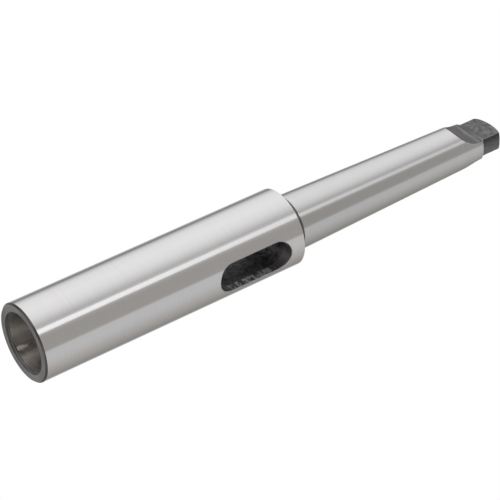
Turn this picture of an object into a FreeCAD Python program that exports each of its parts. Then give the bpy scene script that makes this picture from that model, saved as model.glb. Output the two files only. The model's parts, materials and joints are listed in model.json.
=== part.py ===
import FreeCAD, Part
import math
import os

# Extension sleeve for tools with a self-holding taper no. 2 shank.
# The real thing is one bar of steel, turned, bored, milled and ground, so it is one solid.
# It stands on its mouth: the origin is the centre of the mouth face and +Z runs up the axis
# to the tang. The drift slot runs through along Y, and the two tang flats face -X and +X.
# Lengths are in millimetres and angles in degrees.

# Taper that the socket and the shank share
TAPER_PER_LENGTH = 1 / 20.02
GAUGE_DIAMETER = 17.78

# Body
BODY_DIAMETER = 25.0
BODY_LENGTH = 92.0
MOUTH_EDGE_CHAMFER = 0.5
SHOULDER_CHAMFER = 0.15

# Socket, measured up from the mouth face, which is its gauge plane
MOUTH_CONE_DIAMETER = 20.0
MOUTH_CONE_HALF_ANGLE = 45.0
CLEARANCE_DIAMETER = 14.9
SOCKET_DEPTH = 67.0
DRILL_POINT_ANGLE = 118.0

# Drift slot
SLOT_START = 61.0
SLOT_LENGTH = 26.0
SLOT_WIDTH = 9.9
SLOT_EDGE_BREAK = 0.25

# Relief neck between the shoulder and the ground shank
NECK_DIAMETER = 17.0
NECK_LENGTH = 2.6
NECK_ROOT_RADIUS = 0.5
NECK_RAMP_ANGLE = 45.0

# Shank, from its large end to the end of the tang
SHANK_LENGTH = 80.7
GAUGE_TO_LARGE_END = 5.4
SHANK_END_CHAMFER_ANGLE = 45.0

# Tang
TANG_TURNED_DIAMETER = 12.7
TANG_TURNED_LENGTH = 7.7
TANG_THICKNESS = 6.3
TANG_FLAT_LENGTH = 8.8
TANG_RUNOUT_RADIUS = 9.5
TANG_CORNER_RADIUS = 1.6
TANG_END_RADIUS = 27.0

# Centre hole in the end of the tang
CENTRE_MOUTH_DIAMETER = 3.35
CENTRE_CONE_ANGLE = 60.0
CENTRE_PILOT_DIAMETER = 1.6
CENTRE_PILOT_LENGTH = 2.0

# How far a cutting shape reaches past the surface that it opens
CUT_OVERRUN = 5.0

# Heights that several features share
SHANK_START = BODY_LENGTH + NECK_LENGTH
TANG_END = SHANK_START + SHANK_LENGTH
TANG_TURNED_START = TANG_END - TANG_TURNED_LENGTH

ORIGIN = FreeCAD.Vector(0, 0, 0)
AXIS = FreeCAD.Vector(0, 0, 1)


def profile_point(radius, height):
    return FreeCAD.Vector(radius, 0, height)


def straight(*points):
    """Straight edges from each profile point to the next."""
    return [Part.LineSegment(a, b).toShape() for a, b in zip(points, points[1:])]


def arc(centre, radius, start_angle, end_angle):
    """Arc in the profile plane, with its angles measured from the outward direction."""
    points = []
    for angle in (start_angle, (start_angle + end_angle) / 2, end_angle):
        turn = math.radians(angle)
        points.append(centre + FreeCAD.Vector(math.cos(turn), 0, math.sin(turn)) * radius)
    return Part.Arc(*points).toShape()


def edge_end(edge, at_start):
    return edge.valueAt(edge.FirstParameter if at_start else edge.LastParameter)


def turned(edges):
    """Solid of revolution of a closed profile about the axis."""
    return Part.Face(Part.Wire(edges)).revolve(ORIGIN, AXIS, 360)


def slope(angle):
    """Change of radius for each unit of length on a cone of this half angle."""
    return math.tan(math.radians(angle))


def shank_radius(height):
    """Radius of the ground shank, which narrows towards the tang."""
    gauge_height = SHANK_START + GAUGE_TO_LARGE_END
    return (GAUGE_DIAMETER - (height - gauge_height) * TAPER_PER_LENGTH) / 2


def socket_radius(height):
    """Radius of the tapered bore, which narrows from the mouth."""
    return (GAUGE_DIAMETER - height * TAPER_PER_LENGTH) / 2


def shank_chamfer_start():
    """Height where the chamfer at the small end of the ground shank begins."""
    tang_radius = TANG_TURNED_DIAMETER / 2
    rate = slope(SHANK_END_CHAMFER_ANGLE)
    step_at_foot = shank_radius(TANG_TURNED_START) - tang_radius
    return TANG_TURNED_START - step_at_foot / (rate - TAPER_PER_LENGTH / 2)


def turned_blank():
    """Body, neck, ground shank and turned tang, before anything is cut into them."""
    body_radius = BODY_DIAMETER / 2
    neck_radius = NECK_DIAMETER / 2
    tang_radius = TANG_TURNED_DIAMETER / 2
    ramp_length = (shank_radius(SHANK_START) - neck_radius) / slope(NECK_RAMP_ANGLE)
    chamfer_start = shank_chamfer_start()
    root_centre = profile_point(neck_radius + NECK_ROOT_RADIUS, BODY_LENGTH + NECK_ROOT_RADIUS)
    root = arc(root_centre, NECK_ROOT_RADIUS, 270, 180)
    edges = straight(
        profile_point(0, 0),
        profile_point(body_radius - MOUTH_EDGE_CHAMFER, 0),
        profile_point(body_radius, MOUTH_EDGE_CHAMFER),
        profile_point(body_radius, BODY_LENGTH - SHOULDER_CHAMFER),
        profile_point(body_radius - SHOULDER_CHAMFER, BODY_LENGTH),
        edge_end(root, at_start=True),
    )
    edges.append(root)
    edges += straight(
        edge_end(root, at_start=False),
        profile_point(neck_radius, SHANK_START - ramp_length),
        profile_point(shank_radius(SHANK_START), SHANK_START),
        profile_point(shank_radius(chamfer_start), chamfer_start),
        profile_point(tang_radius, TANG_TURNED_START),
        profile_point(tang_radius, TANG_END),
        profile_point(0, TANG_END),
        profile_point(0, 0),
    )
    return turned(edges)


def socket():
    """Tapered bore with its mouth cone, clearance bore and drill point."""
    mouth_radius = MOUTH_CONE_DIAMETER / 2
    clearance_radius = CLEARANCE_DIAMETER / 2
    rate = slope(MOUTH_CONE_HALF_ANGLE)
    cone_depth = (mouth_radius - socket_radius(0)) / (rate - TAPER_PER_LENGTH / 2)
    taper_end = (GAUGE_DIAMETER - CLEARANCE_DIAMETER) / TAPER_PER_LENGTH
    point_height = clearance_radius / slope(DRILL_POINT_ANGLE / 2)
    edges = straight(
        profile_point(0, -CUT_OVERRUN),
        profile_point(mouth_radius + CUT_OVERRUN * rate, -CUT_OVERRUN),
        profile_point(socket_radius(cone_depth), cone_depth),
        profile_point(clearance_radius, taper_end),
        profile_point(clearance_radius, SOCKET_DEPTH),
        profile_point(0, SOCKET_DEPTH + point_height),
        profile_point(0, -CUT_OVERRUN),
    )
    return turned(edges)


def drift_slot():
    """Round-ended slot, as a prism that runs right through the body along Y."""
    half_width = SLOT_WIDTH / 2
    low_centre = FreeCAD.Vector(0, 0, SLOT_START + half_width)
    high_centre = FreeCAD.Vector(0, 0, SLOT_START + SLOT_LENGTH - half_width)
    low_round = arc(low_centre, half_width, 180, 360)
    high_round = arc(high_centre, half_width, 0, 180)
    near_side = straight(edge_end(low_round, at_start=False), edge_end(high_round, at_start=True))
    far_side = straight(edge_end(high_round, at_start=False), edge_end(low_round, at_start=True))
    outline = Part.Wire([low_round] + near_side + [high_round] + far_side)
    reach = BODY_DIAMETER / 2 + CUT_OVERRUN
    outline.translate(FreeCAD.Vector(0, -reach, 0))
    return Part.Face(outline).extrude(FreeCAD.Vector(0, 2 * reach, 0))


def is_slot_edge(edge):
    """True where the slot meets the outside of the body."""
    body_radius = BODY_DIAMETER / 2
    middle = edge.valueAt((edge.FirstParameter + edge.LastParameter) / 2)
    on_body = abs(math.hypot(middle.x, middle.y) - body_radius) < SLOT_EDGE_BREAK / 10
    in_slot = abs(middle.x) < SLOT_WIDTH / 2 + SLOT_EDGE_BREAK
    from_middle = abs(middle.z - SLOT_START - SLOT_LENGTH / 2)
    return on_body and in_slot and from_middle < SLOT_LENGTH / 2 + SLOT_EDGE_BREAK


def tang_end_cut():
    """Metal milled off the end of the tang, which rounds it across its width but not its thickness."""
    half_width = TANG_TURNED_DIAMETER / 2
    corner_out = half_width - TANG_CORNER_RADIUS
    end_centre = profile_point(0, TANG_END - TANG_END_RADIUS)
    rise = math.sqrt((TANG_END_RADIUS - TANG_CORNER_RADIUS) ** 2 - corner_out**2)
    corner_height = end_centre.z + rise
    meeting_angle = math.degrees(math.atan2(rise, corner_out))
    right = arc(profile_point(corner_out, corner_height), TANG_CORNER_RADIUS, 0, meeting_angle)
    end = arc(end_centre, TANG_END_RADIUS, meeting_angle, 180 - meeting_angle)
    left = arc(profile_point(-corner_out, corner_height), TANG_CORNER_RADIUS, 180 - meeting_angle, 180)
    outside = half_width + CUT_OVERRUN
    edges = [right, end, left] + straight(
        profile_point(-half_width, corner_height),
        profile_point(-outside, corner_height),
        profile_point(-outside, TANG_END + CUT_OVERRUN),
        profile_point(outside, TANG_END + CUT_OVERRUN),
        profile_point(outside, corner_height),
        profile_point(half_width, corner_height),
    )
    outline = Part.Wire(edges)
    outline.translate(FreeCAD.Vector(0, -outside, 0))
    cut = Part.Face(outline).extrude(FreeCAD.Vector(0, 2 * outside, 0))
    cut.rotate(ORIGIN, AXIS, 90)
    return cut


def tang_flat_cut(side):
    """Metal milled off one side of the tang, with the cutter's round run-out below it."""
    flat = TANG_THICKNESS / 2
    outside = flat + TANG_RUNOUT_RADIUS + CUT_OVERRUN
    runout_height = TANG_END - TANG_FLAT_LENGTH
    runout_centre = profile_point(flat + TANG_RUNOUT_RADIUS, runout_height)
    runout = arc(runout_centre, TANG_RUNOUT_RADIUS, 180, 270)
    edges = [runout] + straight(
        edge_end(runout, at_start=False),
        profile_point(outside, runout_height - TANG_RUNOUT_RADIUS),
        profile_point(outside, TANG_END + CUT_OVERRUN),
        profile_point(flat, TANG_END + CUT_OVERRUN),
        edge_end(runout, at_start=True),
    )
    outline = Part.Wire(edges)
    reach = GAUGE_DIAMETER
    outline.translate(FreeCAD.Vector(0, -reach, 0))
    cut = Part.Face(outline).extrude(FreeCAD.Vector(0, 2 * reach, 0))
    if side < 0:
        cut.rotate(ORIGIN, AXIS, 180)
    return cut


def centre_hole():
    """Small centre drilled into the end of the tang, on which the shank was ground."""
    rate = slope(CENTRE_CONE_ANGLE / 2)
    pilot_radius = CENTRE_PILOT_DIAMETER / 2
    cone_depth = (CENTRE_MOUTH_DIAMETER / 2 - pilot_radius) / rate
    pilot_start = TANG_END - cone_depth
    top = TANG_END + CUT_OVERRUN
    pilot_end = pilot_start - CENTRE_PILOT_LENGTH
    edges = straight(
        profile_point(0, top),
        profile_point(pilot_radius + (top - pilot_start) * rate, top),
        profile_point(pilot_radius, pilot_start),
        profile_point(pilot_radius, pilot_end),
        profile_point(0, pilot_end - pilot_radius / slope(DRILL_POINT_ANGLE / 2)),
        profile_point(0, top),
    )
    return turned(edges)


def taper_sleeve():
    """The whole sleeve, in the order in which it is cut from the bar."""
    blank = turned_blank().cut(drift_slot()).Solids[0]
    blank = blank.makeChamfer(SLOT_EDGE_BREAK, [e for e in blank.Edges if is_slot_edge(e)])
    cutters = [socket(), tang_flat_cut(1), tang_flat_cut(-1), tang_end_cut(), centre_hole()]
    return blank.cut(cutters).Solids[0]


os.makedirs("parts", exist_ok=True)
taper_sleeve().exportStep("parts/taper_sleeve.step")
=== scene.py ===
import json
import math
from collections import namedtuple

import bpy
from mathutils import Matrix, Vector


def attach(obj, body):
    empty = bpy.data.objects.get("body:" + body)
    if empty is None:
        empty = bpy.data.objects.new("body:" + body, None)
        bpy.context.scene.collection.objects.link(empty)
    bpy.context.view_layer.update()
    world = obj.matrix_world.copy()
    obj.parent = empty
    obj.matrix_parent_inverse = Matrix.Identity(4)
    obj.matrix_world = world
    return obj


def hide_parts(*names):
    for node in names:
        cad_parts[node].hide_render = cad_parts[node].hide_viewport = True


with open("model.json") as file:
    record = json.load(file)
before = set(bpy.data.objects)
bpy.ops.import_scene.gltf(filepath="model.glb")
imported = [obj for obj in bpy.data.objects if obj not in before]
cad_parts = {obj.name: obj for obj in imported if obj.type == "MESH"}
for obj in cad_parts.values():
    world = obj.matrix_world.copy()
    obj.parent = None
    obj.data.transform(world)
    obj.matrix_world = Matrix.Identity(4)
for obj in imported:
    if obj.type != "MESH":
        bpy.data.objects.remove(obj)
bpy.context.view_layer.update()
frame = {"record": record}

# The sleeve is skinned again at a fine pitch, with its small edges rounded and with a finish
# of its own on each kind of surface.
# Lengths are millimetres in the model's frame: +Z runs up the axis from the mouth face, the
# tang's flats face -X and +X, and the drift slot runs through along Y.
MM = 0.001
NODE = frame["record"]["subparts"][0]["node"]

# Taper that the socket and the shank share, on the diameter
TAPER_PER_LENGTH = 1 / 20.02
GAUGE_DIAMETER = 17.78

# Body and mouth
BODY_RADIUS = 12.5
BODY_LENGTH = 92.0
MOUTH_EDGE_CHAMFER = 0.5
SHOULDER_CHAMFER = 0.15
MOUTH_CONE_RADIUS = 10.0
MOUTH_EDGE_ROUND = 0.06
SHOULDER_EDGE_ROUND = 0.04

# Socket
CLEARANCE_RADIUS = 7.45
SOCKET_DEPTH = 67.0
SOCKET_EDGE_ROUND = 0.1
DRILL_POINT_SLOPE = math.tan(math.radians(118 / 2))

# Drift slot
SLOT_START = 61.0
SLOT_END = 87.0
SLOT_HALF_WIDTH = 4.95
SLOT_EDGE_BREAK = 0.25

# Height where the drill point at the bottom of the socket is as narrow as the slot
POINT_END = SOCKET_DEPTH + (CLEARANCE_RADIUS - SLOT_HALF_WIDTH) / DRILL_POINT_SLOPE

# Neck and shank
NECK_RADIUS = 8.5
NECK_ROOT_RADIUS = 0.5
SHANK_START = 94.6
GAUGE_HEIGHT = 100.0
SHANK_EDGE_ROUND = 0.1

# Tang
TANG_END = 175.3
TANG_RADIUS = 6.35
TANG_TURNED_START = 167.6
TANG_FLAT = 3.15
RUNOUT_HEIGHT = 166.5
RUNOUT_RADIUS = 9.5
TANG_EDGE_ROUND = 0.12

# End of the tang: one arc whose top is off the middle, and a corner of its own towards +Y and -Y.
# The sides have level rows up to a height just under these corners.
TANG_END_RADIUS = 14.8
TANG_CROWN = -0.7
TANG_CORNER_RADII = {1: 3.8, -1: 0.3}
TANG_SIDES_TOP = 170.5

# Centre hole in the end of the tang
CENTRE_CONE_SLOPE = math.tan(math.radians(60 / 2))
CENTRE_MOUTH_RADIUS = 1.675
CENTRE_PILOT_RADIUS = 0.8
CENTRE_PILOT_LENGTH = 2.0
CENTRE_PILOT_START = TANG_END - (CENTRE_MOUTH_RADIUS - CENTRE_PILOT_RADIUS) / CENTRE_CONE_SLOPE
CENTRE_EDGE_ROUND = 0.08

# How finely the surfaces are divided
SEGMENTS = 192
HALF_TURN = SEGMENTS // 2
ROUND_STEPS = 18
FLAT_COLUMNS = 14
WALL_COLUMNS = 10
EDGE_STEPS = 4
END_ROWS = 16
RUNOUT_STEPS = 24

# How close an angle is searched for, and how many digits of a millimetre tell points apart
ANGLE_PRECISION = 1e-9
POINT_DIGITS = 5

# Finishes, in the order of the piece's material slots
BODY, SHANK, BORE, FACE, CONE, SLOT_WALL, FLAT, TANG, TANG_EDGE, EDGE, DRILLED = range(11)

# Whether X and Y are kept (1) or turned round (-1), for each copy of a patch
ONCE = ((1, 1),)
BOTH_X = ((1, 1), (-1, 1))
ALL_QUARTERS = ((1, 1), (-1, 1), (1, -1), (-1, -1))

# Point of a turned surface: its radius and height, and the same two parts of its normal
Station = namedtuple("Station", "r z nr nz")


def shank_radius(height):
    return (GAUGE_DIAMETER - (height - GAUGE_HEIGHT) * TAPER_PER_LENGTH) / 2


def socket_radius(height):
    return (GAUGE_DIAMETER - height * TAPER_PER_LENGTH) / 2


def steps(start, end, count):
    """Evenly spaced numbers from start to end, both included."""
    return [start + (end - start) * i / count for i in range(count + 1)]


def mirrored(row, mirror):
    """Row of (place, normal) with X and Y each kept or turned round."""
    return [
        tuple((vector[0] * mirror[0], vector[1] * mirror[1], vector[2]) for vector in corner)
        for corner in row
    ]


class Skin:
    """Faces of the sleeve, with a normal for each corner and a finish for each face."""

    def __init__(self):
        self.places = {}
        self.faces = []
        self.normals = []
        self.finishes = []

    def point(self, place):
        """Number of the point at this place. Places that coincide share one point."""
        key = tuple(round(part, POINT_DIGITS) for part in Vector(place))
        return self.places.setdefault(key, len(self.places))

    def face(self, corners, finish):
        """Face round these (place, normal) corners, turned so that it faces along its normals."""
        points = [self.point(place) for place, _ in corners]
        kept = [i for i, point in enumerate(points) if point != points[i - 1]]
        if len(kept) < 3:
            return
        ring = [Vector(corners[i][0]) for i in kept]
        facing = sum((a.cross(b) for a, b in zip(ring, ring[1:] + ring[:1])), Vector())
        if facing.dot(sum((Vector(corners[i][1]) for i in kept), Vector())) < 0:
            kept.reverse()
        self.faces.append([points[i] for i in kept])
        self.normals += [Vector(corners[i][1]).normalized() for i in kept]
        self.finishes.append(finish)

    def band(self, row_a, row_b, finish):
        for a, b, c, d in zip(row_a, row_a[1:], row_b[1:], row_b):
            self.face([a, b, c, d], finish)

    def patch(self, rows, finish, mirrors=ONCE):
        """Rows joined by faces, once for each mirroring."""
        for mirror in mirrors:
            turned = [mirrored(row, mirror) for row in rows]
            for row, following in zip(turned, turned[1:]):
                self.band(row, following, finish)


def around(station, angles):
    """Row of (place, normal) about the axis, at these angles."""
    row = []
    for angle in angles:
        x = math.cos(angle)
        y = math.sin(angle)
        place = (station.r * x, station.r * y, station.z)
        row.append((place, (station.nr * x, station.nr * y, station.nz)))
    return row


def lathe(skin, path, angles=steps(0, 2 * math.pi, SEGMENTS)):
    """Full turns between the stations of a path of (station, finish up to the next one)."""
    for (station, finish), (following, _) in zip(path, path[1:]):
        if finish is not None:
            skin.band(around(station, angles), around(following, angles), finish)


def rounded(corners):
    """Path along straight runs, with each corner between them rounded.

    A corner is (radius, height, rounding, finish of the rounding, finish of the next run).
    Walked in this order, the runs have the metal on their right.
    """
    spots = [Vector(corner[:2]) for corner in corners]
    runs = [(b - a).normalized() for a, b in zip(spots, spots[1:])]
    path = [(Station(*spots[0], -runs[0].y, runs[0].x), corners[0][4])]
    for spot, before, after, corner in zip(spots[1:], runs, runs[1:], corners[1:]):
        _, _, rounding, edge_finish, finish = corner
        turn = math.atan2(before.cross(after), before.dot(after))
        bulge = rounding if turn < 0 else -rounding
        normal = Vector((-before.y, before.x))
        start = spot - before * rounding * math.tan(abs(turn) / 2)
        centre = start - normal * bulge
        for share in steps(0, 1, EDGE_STEPS):
            out = Matrix.Rotation(turn * share, 2) @ normal
            place = centre + out * bulge
            path.append((Station(*place, *out), edge_finish))
        path[-1] = (path[-1][0], finish)
        # A sharp corner keeps two stations, each with one run's normal, and no face between them
        if not rounding:
            del path[-EDGE_STEPS:-1]
            path[-2] = (path[-2][0], None)
    last = runs[-1]
    path.append((Station(*spots[-1], -last.y, last.x), None))
    return path


def away(own, other):
    """Direction along a surface away from its edge with another, from their two normals."""
    return (own * own.dot(other) - other).normalized()


def strip(start, corner, end):
    """Row of (place, normal) across a rounded edge, from one surface's edge to the other's.

    The row is a curve that bends towards the corner.
    """
    row = []
    for t in steps(0, 1, EDGE_STEPS):
        place = start[0] * (1 - t) ** 2 + corner * 2 * t * (1 - t) + end[0] * t**2
        row.append((place, start[1] * (1 - t) + end[1] * t))
    return row


# Tang


def cutter(height):
    """Half the metal that the tang cutters leave at this height, and the cut's normal."""
    below = max(RUNOUT_HEIGHT - height, 0)
    across = math.sqrt(RUNOUT_RADIUS**2 - below**2)
    normal = Vector((across, 0, below)) / RUNOUT_RADIUS
    return TANG_FLAT + RUNOUT_RADIUS - across, normal


def runout_turn():
    """Angle that the cutter's round turns through before it leaves the shank."""
    low = 0
    high = math.pi / 2
    while high - low > ANGLE_PRECISION:
        turn = (low + high) / 2
        half = TANG_FLAT + RUNOUT_RADIUS * (1 - math.cos(turn))
        inside = half < shank_radius(RUNOUT_HEIGHT - RUNOUT_RADIUS * math.sin(turn))
        low, high = (turn, high) if inside else (low, turn)
    return high


def tang_path():
    """Turned surface that the flats cut into, down from just under the corners of its end."""
    step = shank_radius(TANG_TURNED_START) - TANG_RADIUS
    chamfer_start = TANG_TURNED_START - step / (1 - TAPER_PER_LENGTH / 2)
    path = rounded([
        (TANG_RADIUS, TANG_SIDES_TOP, 0, None, TANG),
        (TANG_RADIUS, TANG_TURNED_START, SHANK_EDGE_ROUND, SHANK, SHANK),
        (shank_radius(chamfer_start), chamfer_start, SHANK_EDGE_ROUND, SHANK, SHANK),
        (shank_radius(RUNOUT_HEIGHT), RUNOUT_HEIGHT, 0, None, None),
    ])[:-1]
    normal = Vector((1, TAPER_PER_LENGTH / 2)).normalized()
    for share in steps(1, 0, RUNOUT_STEPS):
        height = RUNOUT_HEIGHT - RUNOUT_RADIUS * math.sin(runout_turn() * (1 - share**2))
        path.append((Station(shank_radius(height), height, *normal), SHANK))
    return path


def end_outline(y, inset=0):
    """Height and normal of the tang's milled end at this distance from its middle.

    An inset draws the whole outline in by so much.
    """
    side = 1 if y > TANG_CROWN else -1
    corner = TANG_CORNER_RADII[side]
    aside = side * (TANG_RADIUS - corner) - TANG_CROWN
    share = (TANG_END_RADIUS - inset) / (TANG_END_RADIUS - corner)
    radius = TANG_END_RADIUS - inset
    middle = TANG_CROWN
    base = TANG_END - TANG_END_RADIUS
    if (y - TANG_CROWN) * side > aside * side * share:
        radius = corner - inset
        middle = TANG_CROWN + aside
        base += math.sqrt((TANG_END_RADIUS - corner) ** 2 - aside**2)
    across = (y - middle) / radius
    up = math.sqrt(max(1 - across**2, 0))
    return base + radius * up, Vector((0, across, up))


def end_in_half(y, side, inset=0):
    """Outline of the tang's end, with Y turned round for the half of the tang towards -Y."""
    height, normal = end_outline(y * side, inset)
    return height, Vector((0, normal.y * side, normal.z))


def flat_edge(station):
    """How the flat meets the turned surface at a station, in the quarter with +X and +Y.

    Returns the turned surface's own station and angle, the corner before rounding, and the
    half width and height where the flat begins.
    """
    half, flat_normal = cutter(station.z)
    cosine = min(half / station.r, 1)
    angle = math.acos(cosine)
    sine = math.sin(angle)
    corner = Vector((half, station.r * sine, station.z))
    side_normal = Vector((station.nr * cosine, station.nr * sine, station.nz))
    into_side = away(side_normal, flat_normal) * TANG_EDGE_ROUND
    into_flat = away(flat_normal, side_normal) * TANG_EDGE_ROUND
    slide = into_side.dot(Vector((station.nz * cosine, station.nz * sine, -station.nr)))
    # Above the run-out the rows stay level
    if station.z > RUNOUT_HEIGHT:
        slide = 0
        into_flat = Vector((0, -TANG_EDGE_ROUND, 0))
    swing = into_side.dot(Vector((-sine, cosine, 0))) / station.r
    moved = station._replace(r=station.r + slide * station.nz, z=station.z - slide * station.nr)
    return moved, angle + swing, corner, corner.y + into_flat.y, corner.z + into_flat.z


def side_top(angle, side):
    """Rounded edge between the tang's turned side and its end, at an angle about the axis."""
    side_normal = Vector((math.cos(angle), math.sin(angle), 0))
    corner = side_normal * TANG_RADIUS
    corner.z, end_normal = end_in_half(corner.y, side)
    reach = TANG_EDGE_ROUND * math.tan(side_normal.angle(end_normal, 0) / 2)
    start = corner + away(side_normal, end_normal) * reach
    end = corner + away(end_normal, side_normal) * reach
    end.z, end_normal = end_in_half(end.y, side)
    return strip((start, side_normal), corner, (end, end_normal))


def flat_top(y, side):
    """Rounded edge between a flat and the tang's end, at this distance from the middle."""
    height, end_normal = end_in_half(y, side, TANG_EDGE_ROUND)
    flat = Vector((TANG_FLAT, y, height))
    corner = flat + end_normal * TANG_EDGE_ROUND
    end = corner - Vector((TANG_EDGE_ROUND, 0, 0))
    return strip((flat, Vector((1, 0, 0))), corner, (end, end_normal))


def tang_tops(station, side):
    """Rounded edges round the tang's end, at its turned side, at its flat and where they meet."""
    _, angle, corner, width, _ = flat_edge(station)
    side_tops = [side_top(turn, side) for turn in steps(angle, math.pi - angle, HALF_TURN)]
    flat_tops = [flat_top(width * share, side) for share in steps(0, 1, FLAT_COLUMNS)]
    side_start = side_tops[0][0]
    flat_start = flat_tops[-1][0]
    corner.z = (side_start[0].z + flat_start[0].z) / 2
    return side_tops, flat_tops, strip(side_start, corner, flat_start)


def tang_rows(path):
    """Rows of the turned side, of the flat and of the edge between them, down this path.

    The last value is the turned side's lowest station, moved aside for the edge.
    """
    sides = []
    flats = []
    edges = []
    for station, _ in path:
        moved, angle, corner, width, height = flat_edge(station)
        half, normal = cutter(height)
        shares = steps(0, 1, FLAT_COLUMNS)
        sides.append(around(moved, steps(angle, math.pi - angle, HALF_TURN)))
        flats.append([(Vector((half, width * share, height)), normal) for share in shares])
        edges.append(strip([Vector(v) for v in sides[-1][0]], corner, flats[-1][-1]))
    return sides, flats, edges, moved


def tang_half(skin, side):
    """Half of the tang towards +Y or -Y, without its end. Returns its lowest station and rim."""
    once = ((1, side),)
    twice = ((1, side), (-1, side))
    path = tang_path()
    side_tops, flat_tops, top_edge = tang_tops(path[0][0], side)
    sides, flats, edges, foot = tang_rows(path)
    skin.patch([[row[0] for row in side_tops], sides[0]], TANG, once)
    skin.patch([[row[0] for row in flat_tops]] + flats, FLAT, twice)
    skin.patch([top_edge, edges[0]], TANG_EDGE, twice)
    for (_, finish), *rows in zip(path, sides, sides[1:], edges, edges[1:]):
        if finish is not None:
            skin.patch(rows[:2], finish, once)
        skin.patch(rows[2:], TANG_EDGE if finish == TANG else EDGE, twice)
    skin.patch(side_tops, TANG_EDGE, once)
    skin.patch(flat_tops, TANG_EDGE, twice)
    meeting = top_edge + flat_tops[-1][1:] + side_tops[0][:0:-1]
    for mirror in twice:
        skin.face(mirrored(meeting, mirror), TANG_EDGE)
    flat_rim = [row[-1] for row in flat_tops]
    rim = flat_rim + [row[-1] for row in side_tops] + mirrored(flat_rim[::-1], (-1, 1))
    return foot, mirrored(rim, (1, side))


def centre_edge(angle):
    """Rounded edge of the centre hole in the tang's end, at an angle about the axis."""
    out = Vector((math.cos(angle), math.sin(angle), 0))
    height, _ = end_outline(CENTRE_MOUTH_RADIUS * out.y)
    radius = CENTRE_PILOT_RADIUS + (height - CENTRE_PILOT_START) * CENTRE_CONE_SLOPE
    corner = out * radius
    corner.z, end_normal = end_outline(corner.y)
    cone_normal = (Vector((0, 0, CENTRE_CONE_SLOPE)) - out).normalized()
    cone = corner + away(cone_normal, end_normal) * CENTRE_EDGE_ROUND
    end = corner + out * CENTRE_EDGE_ROUND
    end.z, end_normal = end_outline(end.y)
    return strip((cone, cone_normal), corner, (end, end_normal))


def centre_hole(skin, angles, mouth):
    """Centre hole below its rounded edge, from the drill point up to the row at its mouth."""
    pilot_end = CENTRE_PILOT_START - CENTRE_PILOT_LENGTH
    path = rounded([
        (0, pilot_end - CENTRE_PILOT_RADIUS / DRILL_POINT_SLOPE, 0, None, DRILLED),
        (CENTRE_PILOT_RADIUS, pilot_end, 0, None, DRILLED),
        (CENTRE_PILOT_RADIUS, CENTRE_PILOT_START, 0, None, DRILLED),
        (CENTRE_MOUTH_RADIUS, TANG_END, 0, None, None),
    ])[:-1]
    lathe(skin, path, angles)
    skin.patch([around(path[-1][0], angles), mouth], DRILLED)


def tang_end(skin, rim):
    """Milled end of the tang, from its rim in to the centre hole, and the hole."""
    angles = [math.atan2(place[1], place[0]) for place, _ in rim]
    edges = [centre_edge(angle) for angle in angles]
    rows = []
    for step in steps(0, math.pi / 2, END_ROWS)[:-1]:
        row = []
        for edge, (place, _) in zip(edges, rim):
            spot = edge[-1][0].lerp(Vector(place), math.sin(step))
            spot.z, normal = end_outline(spot.y)
            row.append((spot, normal))
        rows.append(row)
    skin.patch(rows + [rim], TANG)
    skin.patch(edges, EDGE)
    centre_hole(skin, angles, [edge[0] for edge in edges])


def tang(skin):
    """Sides, flats, end and rounded edges of the tang. Returns its lowest station."""
    foot, rim = tang_half(skin, 1)
    _, back_rim = tang_half(skin, -1)
    tang_end(skin, rim + back_rim[-2::-1])
    return foot


# Drift slot


def slot_outline():
    """(half width, height, outward x, outward height) up one side of the slot."""
    low = SLOT_START + SLOT_HALF_WIDTH
    high = SLOT_END - SLOT_HALF_WIDTH
    outline = []
    for turn in steps(-math.pi / 2, 0, ROUND_STEPS):
        outline.append((math.cos(turn), low + SLOT_HALF_WIDTH * math.sin(turn), math.sin(turn)))
    outline += [(1, SOCKET_DEPTH, 0), (1, POINT_END, 0)]
    for turn in steps(0, math.pi / 2, ROUND_STEPS):
        outline.append((math.cos(turn), high + SLOT_HALF_WIDTH * math.sin(turn), math.sin(turn)))
    return [(SLOT_HALF_WIDTH * out, height, out, rise) for out, height, rise in outline]


def bore_radius(height):
    """Radius of the clearance bore and of its drill point."""
    return CLEARANCE_RADIUS - max(height - SOCKET_DEPTH, 0) * DRILL_POINT_SLOPE


def across_x(station, half_width):
    """Row of (place, normal) about the axis, over what lies beyond this half width along X."""
    span = math.acos(min(half_width / station.r, 1))
    return around(station, steps(-span, span, HALF_TURN))


def slot_from_outside():
    """Rows of the body's surface, of its rounded edge and of the wall, up one side of the slot."""
    outer = []
    edges = []
    walls = []
    for half, height, out, rise in slot_outline():
        station = Station(BODY_RADIUS, height + SLOT_EDGE_BREAK * rise, 1, 0)
        outer.append(across_x(station, half + SLOT_EDGE_BREAK * out))
        start = [Vector(v) for v in outer[-1][-1]]
        depth = math.sqrt(BODY_RADIUS**2 - half**2)
        facing = Vector((-out, 0, -rise))
        end = Vector((half, depth - SLOT_EDGE_BREAK, height))
        edges.append(strip(start, Vector((half, depth, height)), (end, facing)))
        inner = math.sqrt(max(bore_radius(height) ** 2 - half**2, 0)) if height <= POINT_END else 0
        walls.append([((half, y, height), facing) for y in steps(end.y, inner, WALL_COLUMNS)])
    return outer, edges, walls


def slot_from_inside():
    """Rows of the clearance bore and of its drill point, up one side of the slot."""
    point_normal = Vector((-1, -DRILL_POINT_SLOPE)).normalized()
    bore = []
    point = []
    for half, height, _, _ in slot_outline():
        radius = bore_radius(height)
        if height <= SOCKET_DEPTH:
            bore.append(across_x(Station(radius, height, -1, 0), half))
        if SOCKET_DEPTH <= height <= POINT_END:
            point.append(across_x(Station(radius, height, *point_normal), half))
    return bore, point


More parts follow.
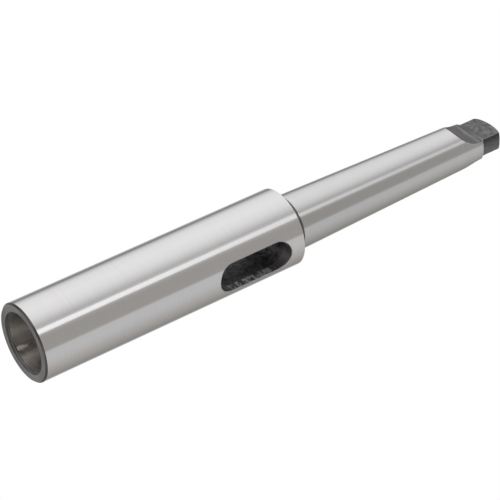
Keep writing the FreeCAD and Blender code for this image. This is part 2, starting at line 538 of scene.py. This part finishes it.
def drift_slot(skin):
    """Everything between the two ends of the slot, inside and out."""
    outer, edges, walls = slot_from_outside()
    bore, point = slot_from_inside()
    skin.patch(outer, BODY, BOTH_X)
    skin.patch(bore, DRILLED, BOTH_X)
    skin.patch(point, DRILLED, BOTH_X)
    skin.patch(edges, EDGE, ALL_QUARTERS)
    skin.patch(walls, SLOT_WALL, ALL_QUARTERS)


# Whole sleeve


def sleeve_skin():
    """Whole surface, in four parts: tang, shank to slot, slot, and slot to socket."""
    skin = Skin()
    tang_foot = tang(skin)
    ramp_foot = SHANK_START - (shank_radius(SHANK_START) - NECK_RADIUS)
    lathe(skin, [(tang_foot, SHANK)] + rounded([
        (tang_foot.r, tang_foot.z, 0, None, SHANK),
        (shank_radius(SHANK_START), SHANK_START, SHANK_EDGE_ROUND, SHANK, SHANK),
        (NECK_RADIUS, ramp_foot, SHANK_EDGE_ROUND, FACE, FACE),
        (NECK_RADIUS, BODY_LENGTH, NECK_ROOT_RADIUS, FACE, FACE),
        (BODY_RADIUS - SHOULDER_CHAMFER, BODY_LENGTH, SHOULDER_EDGE_ROUND, EDGE, EDGE),
        (BODY_RADIUS, BODY_LENGTH - SHOULDER_CHAMFER, SHOULDER_EDGE_ROUND, EDGE, BODY),
        (BODY_RADIUS, SLOT_END + SLOT_EDGE_BREAK, 0, None, None),
    ])[1:])
    drift_slot(skin)
    cone_depth = (MOUTH_CONE_RADIUS - socket_radius(0)) / (1 - TAPER_PER_LENGTH / 2)
    taper_end = (GAUGE_DIAMETER / 2 - CLEARANCE_RADIUS) * 2 / TAPER_PER_LENGTH
    lathe(skin, rounded([
        (BODY_RADIUS, SLOT_START - SLOT_EDGE_BREAK, 0, None, BODY),
        (BODY_RADIUS, MOUTH_EDGE_CHAMFER, MOUTH_EDGE_ROUND, CONE, CONE),
        (BODY_RADIUS - MOUTH_EDGE_CHAMFER, 0, MOUTH_EDGE_ROUND, CONE, FACE),
        (MOUTH_CONE_RADIUS, 0, SOCKET_EDGE_ROUND, EDGE, CONE),
        (socket_radius(cone_depth), cone_depth, SOCKET_EDGE_ROUND, EDGE, BORE),
        (CLEARANCE_RADIUS, taper_end, 0, None, DRILLED),
        (CLEARANCE_RADIUS, SLOT_START, 0, None, None),
    ]))
    return skin


def added(name, data):
    """New object of this data, in the scene."""
    thing = bpy.data.objects.new(name, data)
    bpy.context.scene.collection.objects.link(thing)
    return thing


def meshed(name, points, faces, materials):
    """New object of a mesh, with these materials as its slots."""
    mesh = bpy.data.meshes.new(name)
    mesh.from_pydata(points, [], faces)
    for material in materials:
        mesh.materials.append(material)
    return added(name, mesh)


def sleeve_piece(finishes):
    """The whole sleeve, in metres, with its finishes as material slots."""
    skin = sleeve_skin()
    piece = meshed("sleeve", [Vector(place) * MM for place in skin.places], skin.faces, finishes)
    piece.data.polygons.foreach_set("material_index", skin.finishes)
    piece.data.polygons.foreach_set("use_smooth", [True] * len(skin.faces))
    piece.data.normals_split_custom_set(skin.normals)
    return piece


# Finishes

# Spans of a noise pattern that a finish uses: most of it, or less for a harder contrast
SOFT = (0.3, 0.7)
FIRM = (0.35, 0.65)
HARD = (0.4, 0.6)

# Numbers of a mix node's colour sockets, since its other kinds of socket have the same names
MIX_DARK = 6
MIX_LIGHT = 7
MIX_RESULT = 2

# Share of a full turn that lays the brushed grooves round the axis
BRUSH_TURN = 0.25


class Nodes:
    """A node tree, with short ways to add to it."""

    def __init__(self, tree):
        self.tree = tree

    def feed(self, target, value):
        """Links an input to this socket, or sets it to this value."""
        if isinstance(value, bpy.types.NodeSocket):
            self.tree.links.new(value, target)
        else:
            target.default_value = value

    def node(self, kind, inputs=(), **settings):
        """New node with these settings, and with values or sockets for its named inputs."""
        node = self.tree.nodes.new(kind)
        for name, value in settings.items():
            setattr(node, name, value)
        for name, value in dict(inputs).items():
            self.feed(node.inputs[name], value)
        return node

    def worked_out(self, operation, *values, **settings):
        """Result of a calculation with these values or sockets."""
        node = self.node("ShaderNodeMath", enumerate(values), operation=operation, **settings)
        return node.outputs["Value"]

    def own_place(self):
        """Place in the object's own frame, in metres."""
        return self.node("ShaderNodeTexCoord").outputs["Object"]

    def parts(self, vector):
        """X, Y and Z of a vector."""
        return self.node("ShaderNodeSeparateXYZ", {"Vector": vector}).outputs

    def ranged(self, value, low, high, span=SOFT):
        """Value brought from this span to low..high, and held there beyond it."""
        node = self.node("ShaderNodeMapRange", {
            "Value": value, "From Min": span[0], "From Max": span[1], "To Min": low, "To Max": high,
        })
        return node.outputs["Result"]

    def share(self, value, span=SOFT):
        """How far a value has come along a span, from 0 to 1."""
        return self.ranged(value, 0, 1, span)

    def mixed(self, share, dark, light):
        """Colour between two others, each of which may be a socket too."""
        node = self.node("ShaderNodeMix", {"Factor": share}, data_type="RGBA")
        for target, colour in ((node.inputs[MIX_DARK], dark), (node.inputs[MIX_LIGHT], light)):
            self.feed(target, colour if isinstance(colour, bpy.types.NodeSocket) else (*colour, 1))
        return node.outputs[MIX_RESULT]

    def varied(self, pattern, dark, light, span=SOFT):
        """Colour that goes from one to the other as the pattern goes along a span."""
        return self.mixed(self.share(pattern, span), dark, light)

    def surface(self, shader):
        """Makes this shader the surface of a material that has none."""
        self.node("ShaderNodeOutputMaterial", {"Surface": shader})


class Finish(Nodes):
    """A metal material and the nodes that vary it."""

    def __init__(self, name, colour, roughness, anisotropy=0):
        self.material = bpy.data.materials.new(name)
        self.material.use_nodes = True
        super().__init__(self.material.node_tree)
        self.set("Metallic", 1)
        self.set("Base Color", (*colour, 1))
        self.set("Roughness", roughness)
        if anisotropy:
            self.brush_round_the_axis(anisotropy)

    def set(self, name, value):
        """Links the metal's input of this name to a socket, or sets it to a value."""
        self.feed(self.tree.nodes["Principled BSDF"].inputs[name], value)

    def brush_round_the_axis(self, anisotropy):
        """Fine grooves that run round the axis, so that reflections spread along it."""
        tangent = self.node("ShaderNodeTangent", direction_type="RADIAL", axis="Z")
        self.set("Anisotropic", anisotropy)
        self.set("Anisotropic Rotation", BRUSH_TURN)
        self.set("Tangent", tangent.outputs["Tangent"])

    def place(self, stretch=(1, 1, 1)):
        """Place on the model, in millimetres, stretched by these factors."""
        scale = [factor / MM for factor in stretch]
        node = self.node("ShaderNodeMapping", {"Vector": self.own_place(), "Scale": scale})
        return node.outputs["Vector"]

    def noise(self, features, detail=2, roughness=0.5):
        """Noise with this many features in a millimetre along X, Y and Z."""
        texture = self.node("ShaderNodeTexNoise", {
            "Vector": self.place(features),
            "Scale": 1,
            "Detail": detail,
            "Roughness": roughness,
        })
        return texture.outputs["Fac"]

    def turned_noise(self, centre, plane, outward, round_it, detail=2):
        """Noise round a centre, in the plane of these axes.

        It has so many features in a millimetre outward, and so many in a radian round it.
        """
        place = self.place(plane)
        from_centre = self.node("ShaderNodeVectorMath", {0: place, 1: centre}, operation="SUBTRACT")
        out = {0: from_centre.outputs["Vector"]}
        distance = self.node("ShaderNodeVectorMath", out, operation="LENGTH")
        direction = self.node("ShaderNodeVectorMath", out, operation="NORMALIZE")
        turn = {0: direction.outputs["Vector"], "Scale": round_it}
        texture = self.node("ShaderNodeTexNoise", {
            "Vector": self.node("ShaderNodeVectorMath", turn, operation="SCALE").outputs["Vector"],
            "W": self.worked_out("MULTIPLY", distance.outputs["Value"], outward),
            "Scale": 1,
            "Detail": detail,
        }, noise_dimensions="4D")
        return texture.outputs["Fac"]

    def vary_colour(self, pattern, dark, light, span=SOFT):
        self.set("Base Color", self.varied(pattern, dark, light, span))

    def vary_roughness(self, pattern, low, high):
        self.set("Roughness", self.ranged(pattern, low, high))

    def bump(self, height, depth):
        """Relief of this height pattern, with its full depth in millimetres."""
        inputs = {"Height": height, "Distance": depth * MM, "Strength": 1}
        self.set("Normal", self.node("ShaderNodeBump", inputs).outputs["Normal"])


def grey(level, warmth=0.0):
    """Grey of this level, browner with more warmth."""
    return (level * (1 + warmth), level, level * (1 - warmth))


# Marks that run round a middle: the middle of the turned faces, the two axes that these lie in,
# and the two that a tang flat lies in
AXIS = (0, 0, 0)
ACROSS_THE_AXIS = (1, 1, 0)
ALONG_THE_FLAT = (0, 1, 1)

# Ground steel: how warm its grey is, and how far its grey and roughness vary to either side
GROUND_WARMTH = 0.015
GROUND_SHADES = 0.02
GROUND_SMOOTHER = 0.01
GROUND_ROUGHER = 0.015


def ground(name, level, roughness, anisotropy, lines):
    """Ground steel with so many fine lines in a millimetre, which run round the axis."""
    finish = Finish(name, grey(level, GROUND_WARMTH), roughness, anisotropy)
    dark = grey(level - GROUND_SHADES, GROUND_WARMTH)
    light = grey(level + GROUND_SHADES, GROUND_WARMTH)
    finish.vary_colour(finish.noise((0.02, 0.02, lines), detail=3, roughness=0.7), dark, light)
    dulled = finish.noise((0.05, 0.05, 1.5))
    finish.vary_roughness(dulled, roughness - GROUND_SMOOTHER, roughness + GROUND_ROUGHER)
    return finish.material


def ground_steel():
    """Body: cylindrically ground."""
    return ground("ground_steel_skin", level=0.705, roughness=0.17, anisotropy=0.9, lines=5)


def shank_steel():
    """Shank: ground to a taper, a little darker and duller than the body."""
    return ground("shank_steel", level=0.63, roughness=0.20, anisotropy=0.88, lines=6)


def bore_steel():
    """Ground taper inside the socket, duller and browner than the outside."""
    finish = Finish("bore_steel", grey(0.60, 0.05), roughness=0.31, anisotropy=1.0)
    lines = finish.noise((0.05, 0.05, 3), detail=3, roughness=0.6)
    finish.vary_colour(lines, grey(0.52, 0.06), grey(0.66, 0.06))
    return finish.material


def black_oxide():
    """Faces turned and left black, with the rings that the turning tool leaves."""
    finish = Finish("black_oxide", grey(0.16), roughness=0.38, anisotropy=0.6)
    rings = finish.turned_noise(AXIS, ACROSS_THE_AXIS, outward=1.6, round_it=0.8, detail=3)
    thick = finish.varied(rings, grey(0.12, 0.02), grey(0.19, 0.02), FIRM)
    thin = finish.varied(rings, grey(0.17, 0.02), grey(0.25, 0.02), FIRM)
    finish.vary_colour(finish.noise((0.09, 0.09, 0.09), detail=1), thick, thin, HARD)
    finish.vary_roughness(finish.noise((2, 2, 2), detail=3), 0.33, 0.44)
    return finish.material


def mouth_cone_steel():
    """Mouth cone of the socket, with the marks of the tool that turned it."""
    finish = Finish("mouth_cone_steel", grey(0.09), roughness=0.36, anisotropy=0.6)
    rings = finish.turned_noise(AXIS, ACROSS_THE_AXIS, outward=2.4, round_it=1.5)
    finish.vary_colour(rings, grey(0.05, 0.03), grey(0.18, 0.04))
    return finish.material


# Slot walls: how far out along Y they get lighter, which is painted light, where the chatter marks
# on their straight sides, painted as bright glints, begin along X and Y, with the noise span and
# the depth that make them, and where the painted light on their upper end begins along Y and Z,
# with its colour
WALL_PAINTED_LIGHT_Y = (6.5, 10.0)
CHATTER_GLINT_X = (4.7, 4.9)
CHATTER_GLINT_Y = (8.5, 9.3)
CHATTER_GLINT_SPAN = (0.48, 0.6)
CHATTER_DEPTH = 0.12
WALL_END_PAINTED_LIGHT_Y = (8.2, 8.6)
WALL_END_PAINTED_LIGHT_Z = (82.6, 84.0)
WALL_END_PAINTED_LIGHT_COLOUR = (0.30, 0.27, 0.28)


def slot_wall_steel():
    """Milled walls of the drift slot, black, with painted light outward and on the upper end, and
    chatter marks near the outside painted as bright glints.
    """
    finish = Finish("slot_wall_steel", grey(0.06), roughness=0.5)
    place = finish.parts(finish.place())
    aside = finish.share(finish.worked_out("ABSOLUTE", place["X"]), CHATTER_GLINT_X)
    out = finish.worked_out("ABSOLUTE", place["Y"])
    near = finish.worked_out("MULTIPLY", finish.share(out, CHATTER_GLINT_Y), aside)
    chatter = finish.noise((0.3, 0.3, 0.75), detail=3, roughness=0.6)
    marks = finish.worked_out("MULTIPLY", near, finish.share(chatter, CHATTER_GLINT_SPAN))
    grain = finish.noise((0.9, 0.9, 0.9), detail=4, roughness=0.7)
    inner = finish.varied(grain, grey(0.06), grey(0.18), HARD)
    outer = finish.varied(grain, grey(0.16), grey(0.30), HARD)
    # Painted light: the walls' grain turns lighter further out along Y, towards the opening
    shade_with_painted_light = finish.varied(out, inner, outer, WALL_PAINTED_LIGHT_Y)
    # Painted light on the upper end of the slot, towards the outside, in a reddish grey
    high = finish.share(place["Z"], WALL_END_PAINTED_LIGHT_Z)
    end = finish.worked_out("MULTIPLY", high, finish.share(out, WALL_END_PAINTED_LIGHT_Y))
    shade_with_painted_light = finish.mixed(end, shade_with_painted_light, WALL_END_PAINTED_LIGHT_COLOUR)
    # Painted glints: the chatter marks near the outside are coloured near white, while their relief
    # below is real
    finish.set("Base Color", finish.mixed(marks, shade_with_painted_light, grey(0.95)))
    finish.bump(marks, CHATTER_DEPTH)
    return finish.material


# Tang flats: the middle of the marks where the cutter stopped, the heights over which these
# take over from the marks of its path, and the brown band below, which is a painted dark reflection
STOP_MIDDLE = (0, 2.4, 171.9)
STOP_MARKS_Z = (167.5, 170.5)
REFLECTION_BAND_FOOT_Z = (162.9, 163.7)
REFLECTION_BAND_TOP_Z = (164.6, 165.6)
REFLECTION_BAND_BROWN = (0.122, 0.112, 0.109)


def tang_flat_steel():
    """Milled flats of the tang, black, with the marks of the cutter's path and of its stop, and a
    brown band of painted dark reflection below them.
    """
    finish = Finish("tang_flat_steel", grey(0.15), roughness=0.36)
    lines = finish.noise((0.15, 0.12, 1.8), detail=4, roughness=0.65)
    fan = finish.turned_noise(STOP_MIDDLE, ALONG_THE_FLAT, outward=0.3, round_it=5)
    rings = finish.turned_noise(STOP_MIDDLE, ALONG_THE_FLAT, outward=1.3, round_it=1)
    swept = finish.varied(fan, grey(0.08, 0.02), grey(0.22, 0.02), HARD)
    swept = finish.mixed(finish.ranged(rings, 0, 0.7), swept, grey(0.10, 0.02))
    fed = finish.varied(lines, grey(0.08, 0.02), grey(0.21, 0.02), HARD)
    height = finish.parts(finish.place())["Z"]
    face = finish.varied(height, fed, swept, STOP_MARKS_Z)
    # Painted dark reflection: a brown band across the flat between these heights
    above_foot = finish.share(height, REFLECTION_BAND_FOOT_Z)
    below_top = finish.ranged(height, 1, 0, REFLECTION_BAND_TOP_Z)
    band = finish.worked_out("MULTIPLY", above_foot, below_top)
    finish.set("Base Color", finish.mixed(band, face, REFLECTION_BAND_BROWN))
    finish.vary_roughness(finish.noise((2, 2, 2)), 0.32, 0.42)
    return finish.material


# Where along X the black on the tang's sides and end gets lighter
TANG_LIGHTER_X = (-2.4, 2.4)


def tang_steel():
    """Turned sides and milled end of the tang, black, and lighter towards +X."""
    finish = Finish("tang_steel", grey(0.15), roughness=0.40)
    marks = finish.noise((1.6, 1.6, 1.6), detail=4, roughness=0.7)
    across = finish.parts(finish.place())["X"]
    # Darker and lighter greys of the black, blended from one to the other along X
    thick = finish.varied(marks, grey(0.07), grey(0.11), FIRM)
    thin = finish.varied(marks, grey(0.20), grey(0.30), FIRM)
    finish.vary_colour(across, thick, thin, TANG_LIGHTER_X)
    finish.vary_roughness(finish.noise((2, 2, 2)), 0.36, 0.46)
    return finish.material


def tang_edge_steel():
    """Edges of the tang, where the black is rubbed thin."""
    finish = Finish("tang_edge_steel", grey(0.24), roughness=0.36)
    wear = finish.noise((0.5, 0.5, 0.5), detail=3)
    finish.vary_colour(wear, grey(0.14, 0.03), grey(0.34, 0.05))
    return finish.material


def edge_steel():
    """Edges broken with a file or rubbed bright."""
    finish = Finish("edge_steel", grey(0.46), roughness=0.3)
    wear = finish.noise((0.6, 0.6, 0.6), detail=4)
    finish.vary_colour(wear, grey(0.30), grey(0.58))
    return finish.material


def drilled_steel():
    """Clearance bore and drill point at the bottom of the socket, and the centre hole."""
    finish = Finish("drilled_steel", grey(0.24, 0.04), roughness=0.4, anisotropy=0.4)
    marks = finish.noise((0.1, 0.1, 3))
    finish.vary_colour(marks, grey(0.18, 0.04), grey(0.32, 0.04))
    return finish.material


sleeve = sleeve_piece([
    ground_steel(),
    shank_steel(),
    bore_steel(),
    black_oxide(),
    mouth_cone_steel(),
    slot_wall_steel(),
    tang_flat_steel(),
    tang_steel(),
    tang_edge_steel(),
    edge_steel(),
    drilled_steel(),
])
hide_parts(NODE)
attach(sleeve, "root")


# Studio

# Camera fitted to the outline and rims in the photograph: its place, and the directions that run
# right and down the picture. Its place, lens and sensor are millimetres, and all other lengths
# of the studio are metres.
CAMERA_PLACE = Vector((-423.489, -475.03, -247.029))
PICTURE_RIGHT = Vector((0.03095, -0.58587, 0.80981))
PICTURE_DOWN = Vector((0.80321, -0.46763, -0.36901))
CAMERA_LENS = 170.35
CAMERA_SENSOR = 36.0
CAMERA_NEAREST = 0.01
CAMERA_AZIMUTH = math.atan2(CAMERA_PLACE.y, CAMERA_PLACE.x)

# Light tent: its size, and its brightness by angle from the camera, going round anticlockwise as
# seen from above. It has one set of levels over the height of the mouth face and another under
# it, which meet over a short span of heights, and its darker levels are warmer.
TENT_RADIUS = 0.6
TENT_BOTTOM = -1.6
TENT_TOP = 1.4
TENT_ANGLES = (-180, 180)
TENT_WARM = (1.0, 0.975, 0.945)
TENT_COOL = (0.985, 0.985, 1.0)
TENT_WARM_BELOW = 0.6
TENT_MEETING = (-0.02, 0.02)
TENT_LEVELS = [
    (-180, 0.75), (-158, 0.60), (-152, 0.42), (-146, 0.27), (-139, 0.24), (-128, 0.70),
    (-120, 0.88), (-110, 1.02), (-80, 1.09), (-60, 1.03), (-50, 0.97), (-40, 0.86), (-30, 0.69),
    (-24, 0.58), (-19, 0.64), (-6, 0.64), (0, 0.48), (6, 0.42), (43, 0.42), (47, 0.665),
    (70, 0.665), (85, 0.61), (100, 0.53), (120, 0.43), (140, 0.33), (148, 0.30), (154, 0.40),
    (162, 0.62), (170, 0.78), (180, 0.75),
]
TENT_LOW_LEVELS = [
    (-180, 0.75), (-150, 0.55), (-120, 0.60), (-84, 1.0), (-52, 1.10), (-44, 0.95), (-38, 0.10),
    (4, 0.07), (9, 0.28), (42, 0.34), (48, 0.76), (68, 0.76), (90, 0.55), (120, 0.40),
    (150, 0.40), (180, 0.75),
]

# Strip light in front of the tent: it dims along one span of heights, and below another, at its
# foot, it is several times brighter, for the highlight inside the mouth
STRIP_RADIUS = 0.58
STRIP_ANGLES = (-16.5, -4.0)
STRIP_BOTTOM = -0.16
STRIP_TINT = (0.97, 0.98, 1.01)
STRIP_DIMMING = (0.30, 0.45)
STRIP_BRIGHT = 1.26
STRIP_DIM = 0.82
STRIP_FOOT = (-0.05, -0.03)
STRIP_FOOT_TIMES = 4.2

# How finely the tent and the strip are divided
WALL_STEPS = 96

# Floor, lamp and background
FLOOR_HALF = 3.0
FLOOR_CORNERS = ((-1, -1), (1, -1), (1, 1), (-1, 1))
FLOOR_HEIGHT = -0.0002
FLOOR_GREY = 0.86
LAMP_PLACE = Vector((-0.5, -0.3, 1.5))
LAMP_AIM = Vector((0, 0, 0.09))
LAMP_SIZE = 0.8
LAMP_POWER = 12
BACKGROUND_SEEN = 1.0
BACKGROUND_LIGHT = 0.7


def remove_startup_objects():
    """Takes away the cube, lamp and camera of a new file."""
    for name in ("Cube", "Light", "Camera"):
        if name in bpy.data.objects:
            bpy.data.objects.remove(bpy.data.objects[name])


def place_camera():
    """Camera at the photograph's place and angle."""
    camera = added("camera", bpy.data.cameras.new("camera"))
    camera.data.lens = CAMERA_LENS
    camera.data.sensor_width = CAMERA_SENSOR
    camera.data.clip_start = CAMERA_NEAREST
    axes = Matrix((PICTURE_RIGHT, -PICTURE_DOWN, PICTURE_DOWN.cross(PICTURE_RIGHT))).transposed()
    camera.matrix_world = Matrix.Translation(CAMERA_PLACE * MM) @ axes.to_4x4()
    bpy.context.scene.camera = camera


def new_material(name):
    """Material without a surface yet, and its nodes."""
    material = bpy.data.materials.new(name)
    material.use_nodes = True
    material.node_tree.nodes.clear()
    return material, Nodes(material.node_tree)


def glowing_wall(name, radius, angles, bottom, material):
    """Upright wall about the axis, between two angles from the camera, that only gloss sees.

    It reaches from this bottom up to the tent's top.
    """
    first, last = (math.radians(angle) for angle in angles)
    rim = [Vector((math.cos(turn), math.sin(turn), 0)) for turn in steps(first, last, WALL_STEPS)]
    points = [spot * radius + Vector((0, 0, z)) for z in (bottom, TENT_TOP) for spot in rim]
    above = WALL_STEPS + 1
    faces = [(i, i + 1, i + 1 + above, i + above) for i in range(WALL_STEPS)]
    wall = meshed(name, points, faces, [material])
    wall.rotation_euler.z = CAMERA_AZIMUTH
    wall.visible_camera = False
    wall.visible_diffuse = False
    wall.visible_transmission = False
    wall.visible_shadow = False
    wall.visible_volume_scatter = False


def level_ramp(nodes, turn, levels):
    """Brightness by angle from the camera, as a colour ramp."""
    ramp = nodes.node("ShaderNodeValToRGB", {"Fac": turn})
    stops = ramp.color_ramp.elements
    stops.remove(stops[1])
    for i, (angle, level) in enumerate(levels):
        spot = angle / 360 + 0.5
        stop = stops[0] if i == 0 else stops.new(spot)
        stop.position = spot
        tint = TENT_WARM if level < TENT_WARM_BELOW else TENT_COOL
        stop.color = (*(level * part for part in tint), 1)
    return ramp.outputs["Color"]


def light_tent():
    """Light and dark bands all round the object, over and under the level of its mouth face."""
    material, nodes = new_material("tent")
    place = nodes.own_place()
    turn = nodes.node("ShaderNodeTexGradient", {"Vector": place}, gradient_type="RADIAL")
    under = level_ramp(nodes, turn.outputs["Fac"], TENT_LOW_LEVELS)
    over = level_ramp(nodes, turn.outputs["Fac"], TENT_LEVELS)
    colour = nodes.varied(nodes.parts(place)["Z"], under, over, TENT_MEETING)
    glow = nodes.node("ShaderNodeEmission", {"Color": colour})
    nodes.surface(glow.outputs["Emission"])
    glowing_wall("tent", TENT_RADIUS, TENT_ANGLES, TENT_BOTTOM, material)


def strip_light():
    """Narrow bright band, which is the highlight along the body and the shank."""
    material, nodes = new_material("strip")
    height = nodes.parts(nodes.own_place())["Z"]
    level = nodes.ranged(height, STRIP_BRIGHT, STRIP_DIM, STRIP_DIMMING)
    times = nodes.ranged(height, STRIP_FOOT_TIMES, 1, STRIP_FOOT)
    strength = nodes.worked_out("MULTIPLY", level, times)
    glow = nodes.node("ShaderNodeEmission", {"Color": (*STRIP_TINT, 1), "Strength": strength})
    nodes.surface(glow.outputs["Emission"])
    glowing_wall("strip", STRIP_RADIUS, STRIP_ANGLES, STRIP_BOTTOM, material)


def pale_floor():
    """Floor that a camera above it sees, with the object's shadow, and that lets light past."""
    material, nodes = new_material("floor")
    camera_ray = nodes.node("ShaderNodeLightPath").outputs["Is Camera Ray"]
    from_below = nodes.node("ShaderNodeNewGeometry").outputs["Backfacing"]
    seen = nodes.worked_out("SUBTRACT", camera_ray, from_below, use_clamp=True)
    clear = nodes.node("ShaderNodeBsdfTransparent").outputs["BSDF"]
    pale = nodes.node("ShaderNodeBsdfDiffuse", {"Color": (*grey(FLOOR_GREY), 1)}).outputs["BSDF"]
    both = nodes.node("ShaderNodeMixShader", {"Fac": seen, 1: clear, 2: pale})
    nodes.surface(both.outputs["Shader"])
    corners = [(FLOOR_HALF * x, FLOOR_HALF * y, 0) for x, y in FLOOR_CORNERS]
    floor = meshed("floor", corners, [(0, 1, 2, 3)], [material])
    floor.location.z = FLOOR_HEIGHT


def plain_world():
    """White to the camera and in gloss and glass, and a plain level of light for the rest."""
    world = bpy.data.worlds.new("studio")
    world.use_nodes = True
    nodes = Nodes(world.node_tree)
    ray = nodes.node("ShaderNodeLightPath").outputs
    seen = nodes.worked_out("MAXIMUM", ray["Is Camera Ray"], ray["Is Glossy Ray"])
    seen = nodes.worked_out("MAXIMUM", seen, ray["Is Transmission Ray"])
    background = world.node_tree.nodes["Background"]
    nodes.feed(background.inputs["Color"], (1, 1, 1, 1))
    level = nodes.ranged(seen, BACKGROUND_LIGHT, BACKGROUND_SEEN, (0, 1))
    nodes.feed(background.inputs["Strength"], level)
    bpy.context.scene.world = world


def overhead_lamp():
    """Soft round lamp above, which gloss doesn't see."""
    lamp = added("overhead", bpy.data.lights.new("overhead", "AREA"))
    lamp.data.shape = "DISK"
    lamp.data.size = LAMP_SIZE
    lamp.data.energy = LAMP_POWER
    lamp.location = LAMP_PLACE
    lamp.rotation_euler = (LAMP_AIM - LAMP_PLACE).to_track_quat("-Z", "Y").to_euler()
    lamp.visible_glossy = False


remove_startup_objects()
place_camera()
light_tent()
strip_light()
pale_floor()
plain_world()
overhead_lamp()
bpy.context.scene.view_settings.view_transform = "Standard"
